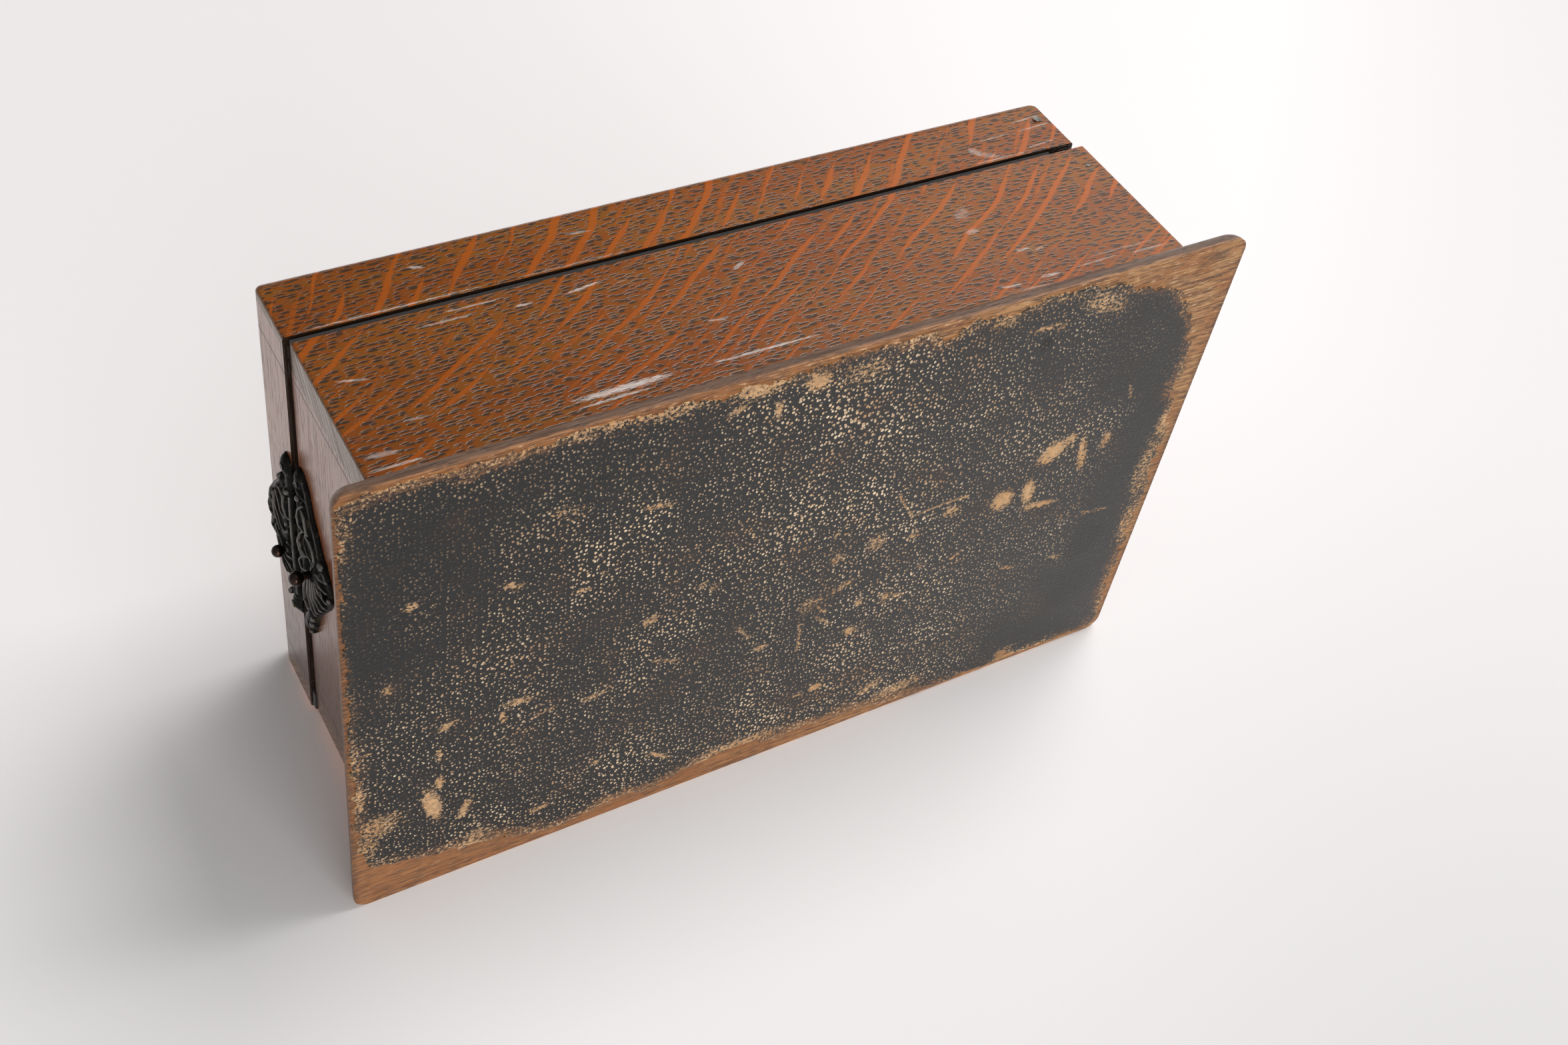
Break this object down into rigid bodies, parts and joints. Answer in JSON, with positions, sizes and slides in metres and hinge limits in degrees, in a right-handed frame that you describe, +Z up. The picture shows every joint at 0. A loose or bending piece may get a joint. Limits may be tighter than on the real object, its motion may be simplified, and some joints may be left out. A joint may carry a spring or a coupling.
{
  "type": "lidded wooden box",
  "caption": "Long low oak box with a hinged lid on a projecting base, a black cast clasp with a push button at one end, and a dark leathercloth underside.",
  "frame": {"origin": "centre of the underside of the base", "axes": "+Z up through the lid, -Y towards the clasp end, +Y towards the hinges, +X to the right seen from the clasp end"},
  "size_m": [0.16, 0.25, 0.0832],
  "materials": {
    "oak_side": "waxed quarter-sawn oak",
    "oak_end": "waxed oak, end panels",
    "oak_top": "waxed quarter-sawn oak, lid top",
    "oak_base": "stained oak, worn at the edges",
    "leathercloth": "black pebbled leathercloth, worn through to tan cloth in places",
    "felt_black": "black felt",
    "liner_black": "blackened board",
    "cast_black": "blackened cast metal, burnished on the high spots",
    "brass": "aged brass",
    "steel": "dull steel"
  },
  "bodies": {
    "body": {"base_plate": "oak_base", "base_covering": "leathercloth", "base_screws": "steel", "body_side_left": "oak_side", "body_side_right": "oak_side", "body_front": "oak_end", "body_rear": "oak_end", "body_corner_brad": "steel", "liner_left": "liner_black", "liner_right": "liner_black", "liner_front": "liner_black", "liner_rear": "liner_black", "floor_pad": "felt_black", "rim_seal_left": "felt_black", "rim_seal_right": "felt_black", "rim_seal_front": "felt_black", "catch_cover_plate": "brass", "clasp_body_plate": "cast_black", "clasp_body_pins": "cast_black", "hinge_body_leaf_left": "brass", "hinge_body_leaf_right": "brass", "hinge_pin_left": "steel", "hinge_pin_right": "steel", "hinge_body_screws": "brass", "button_spring": "steel"},
    "lid": {"lid_side_left": "oak_side", "lid_side_right": "oak_side", "lid_front": "oak_end", "lid_rear": "oak_end", "lid_top_panel": "oak_top", "lid_lining": "felt_black", "lid_corner_nail": "steel", "clasp_lid_plate": "cast_black", "clasp_lid_pins": "cast_black", "lid_lift_knob": "cast_black", "keeper_fork": "steel", "keeper_screws": "steel", "hinge_lid_leaf_left": "brass", "hinge_lid_leaf_right": "brass", "hinge_lid_screws": "brass"},
    "button": {"release_button": "cast_black", "catch_bar": "steel"}
  },
  "joints": [
    {"name": "lid_hinge", "type": "hinge", "parent": "body", "child": "lid", "pos_m": [0, 0.113, 0.06035], "axis": [-1, 0, 0], "range_deg": [0, 95]},
    {"name": "button_press", "type": "slide", "parent": "body", "child": "button", "axis": [0, 1, 0], "range_m": [0, 0.0015], "stiffness_N_per_m": 600, "springref_m": -0.0015, "deforming": ["button_spring"]}
  ]
}
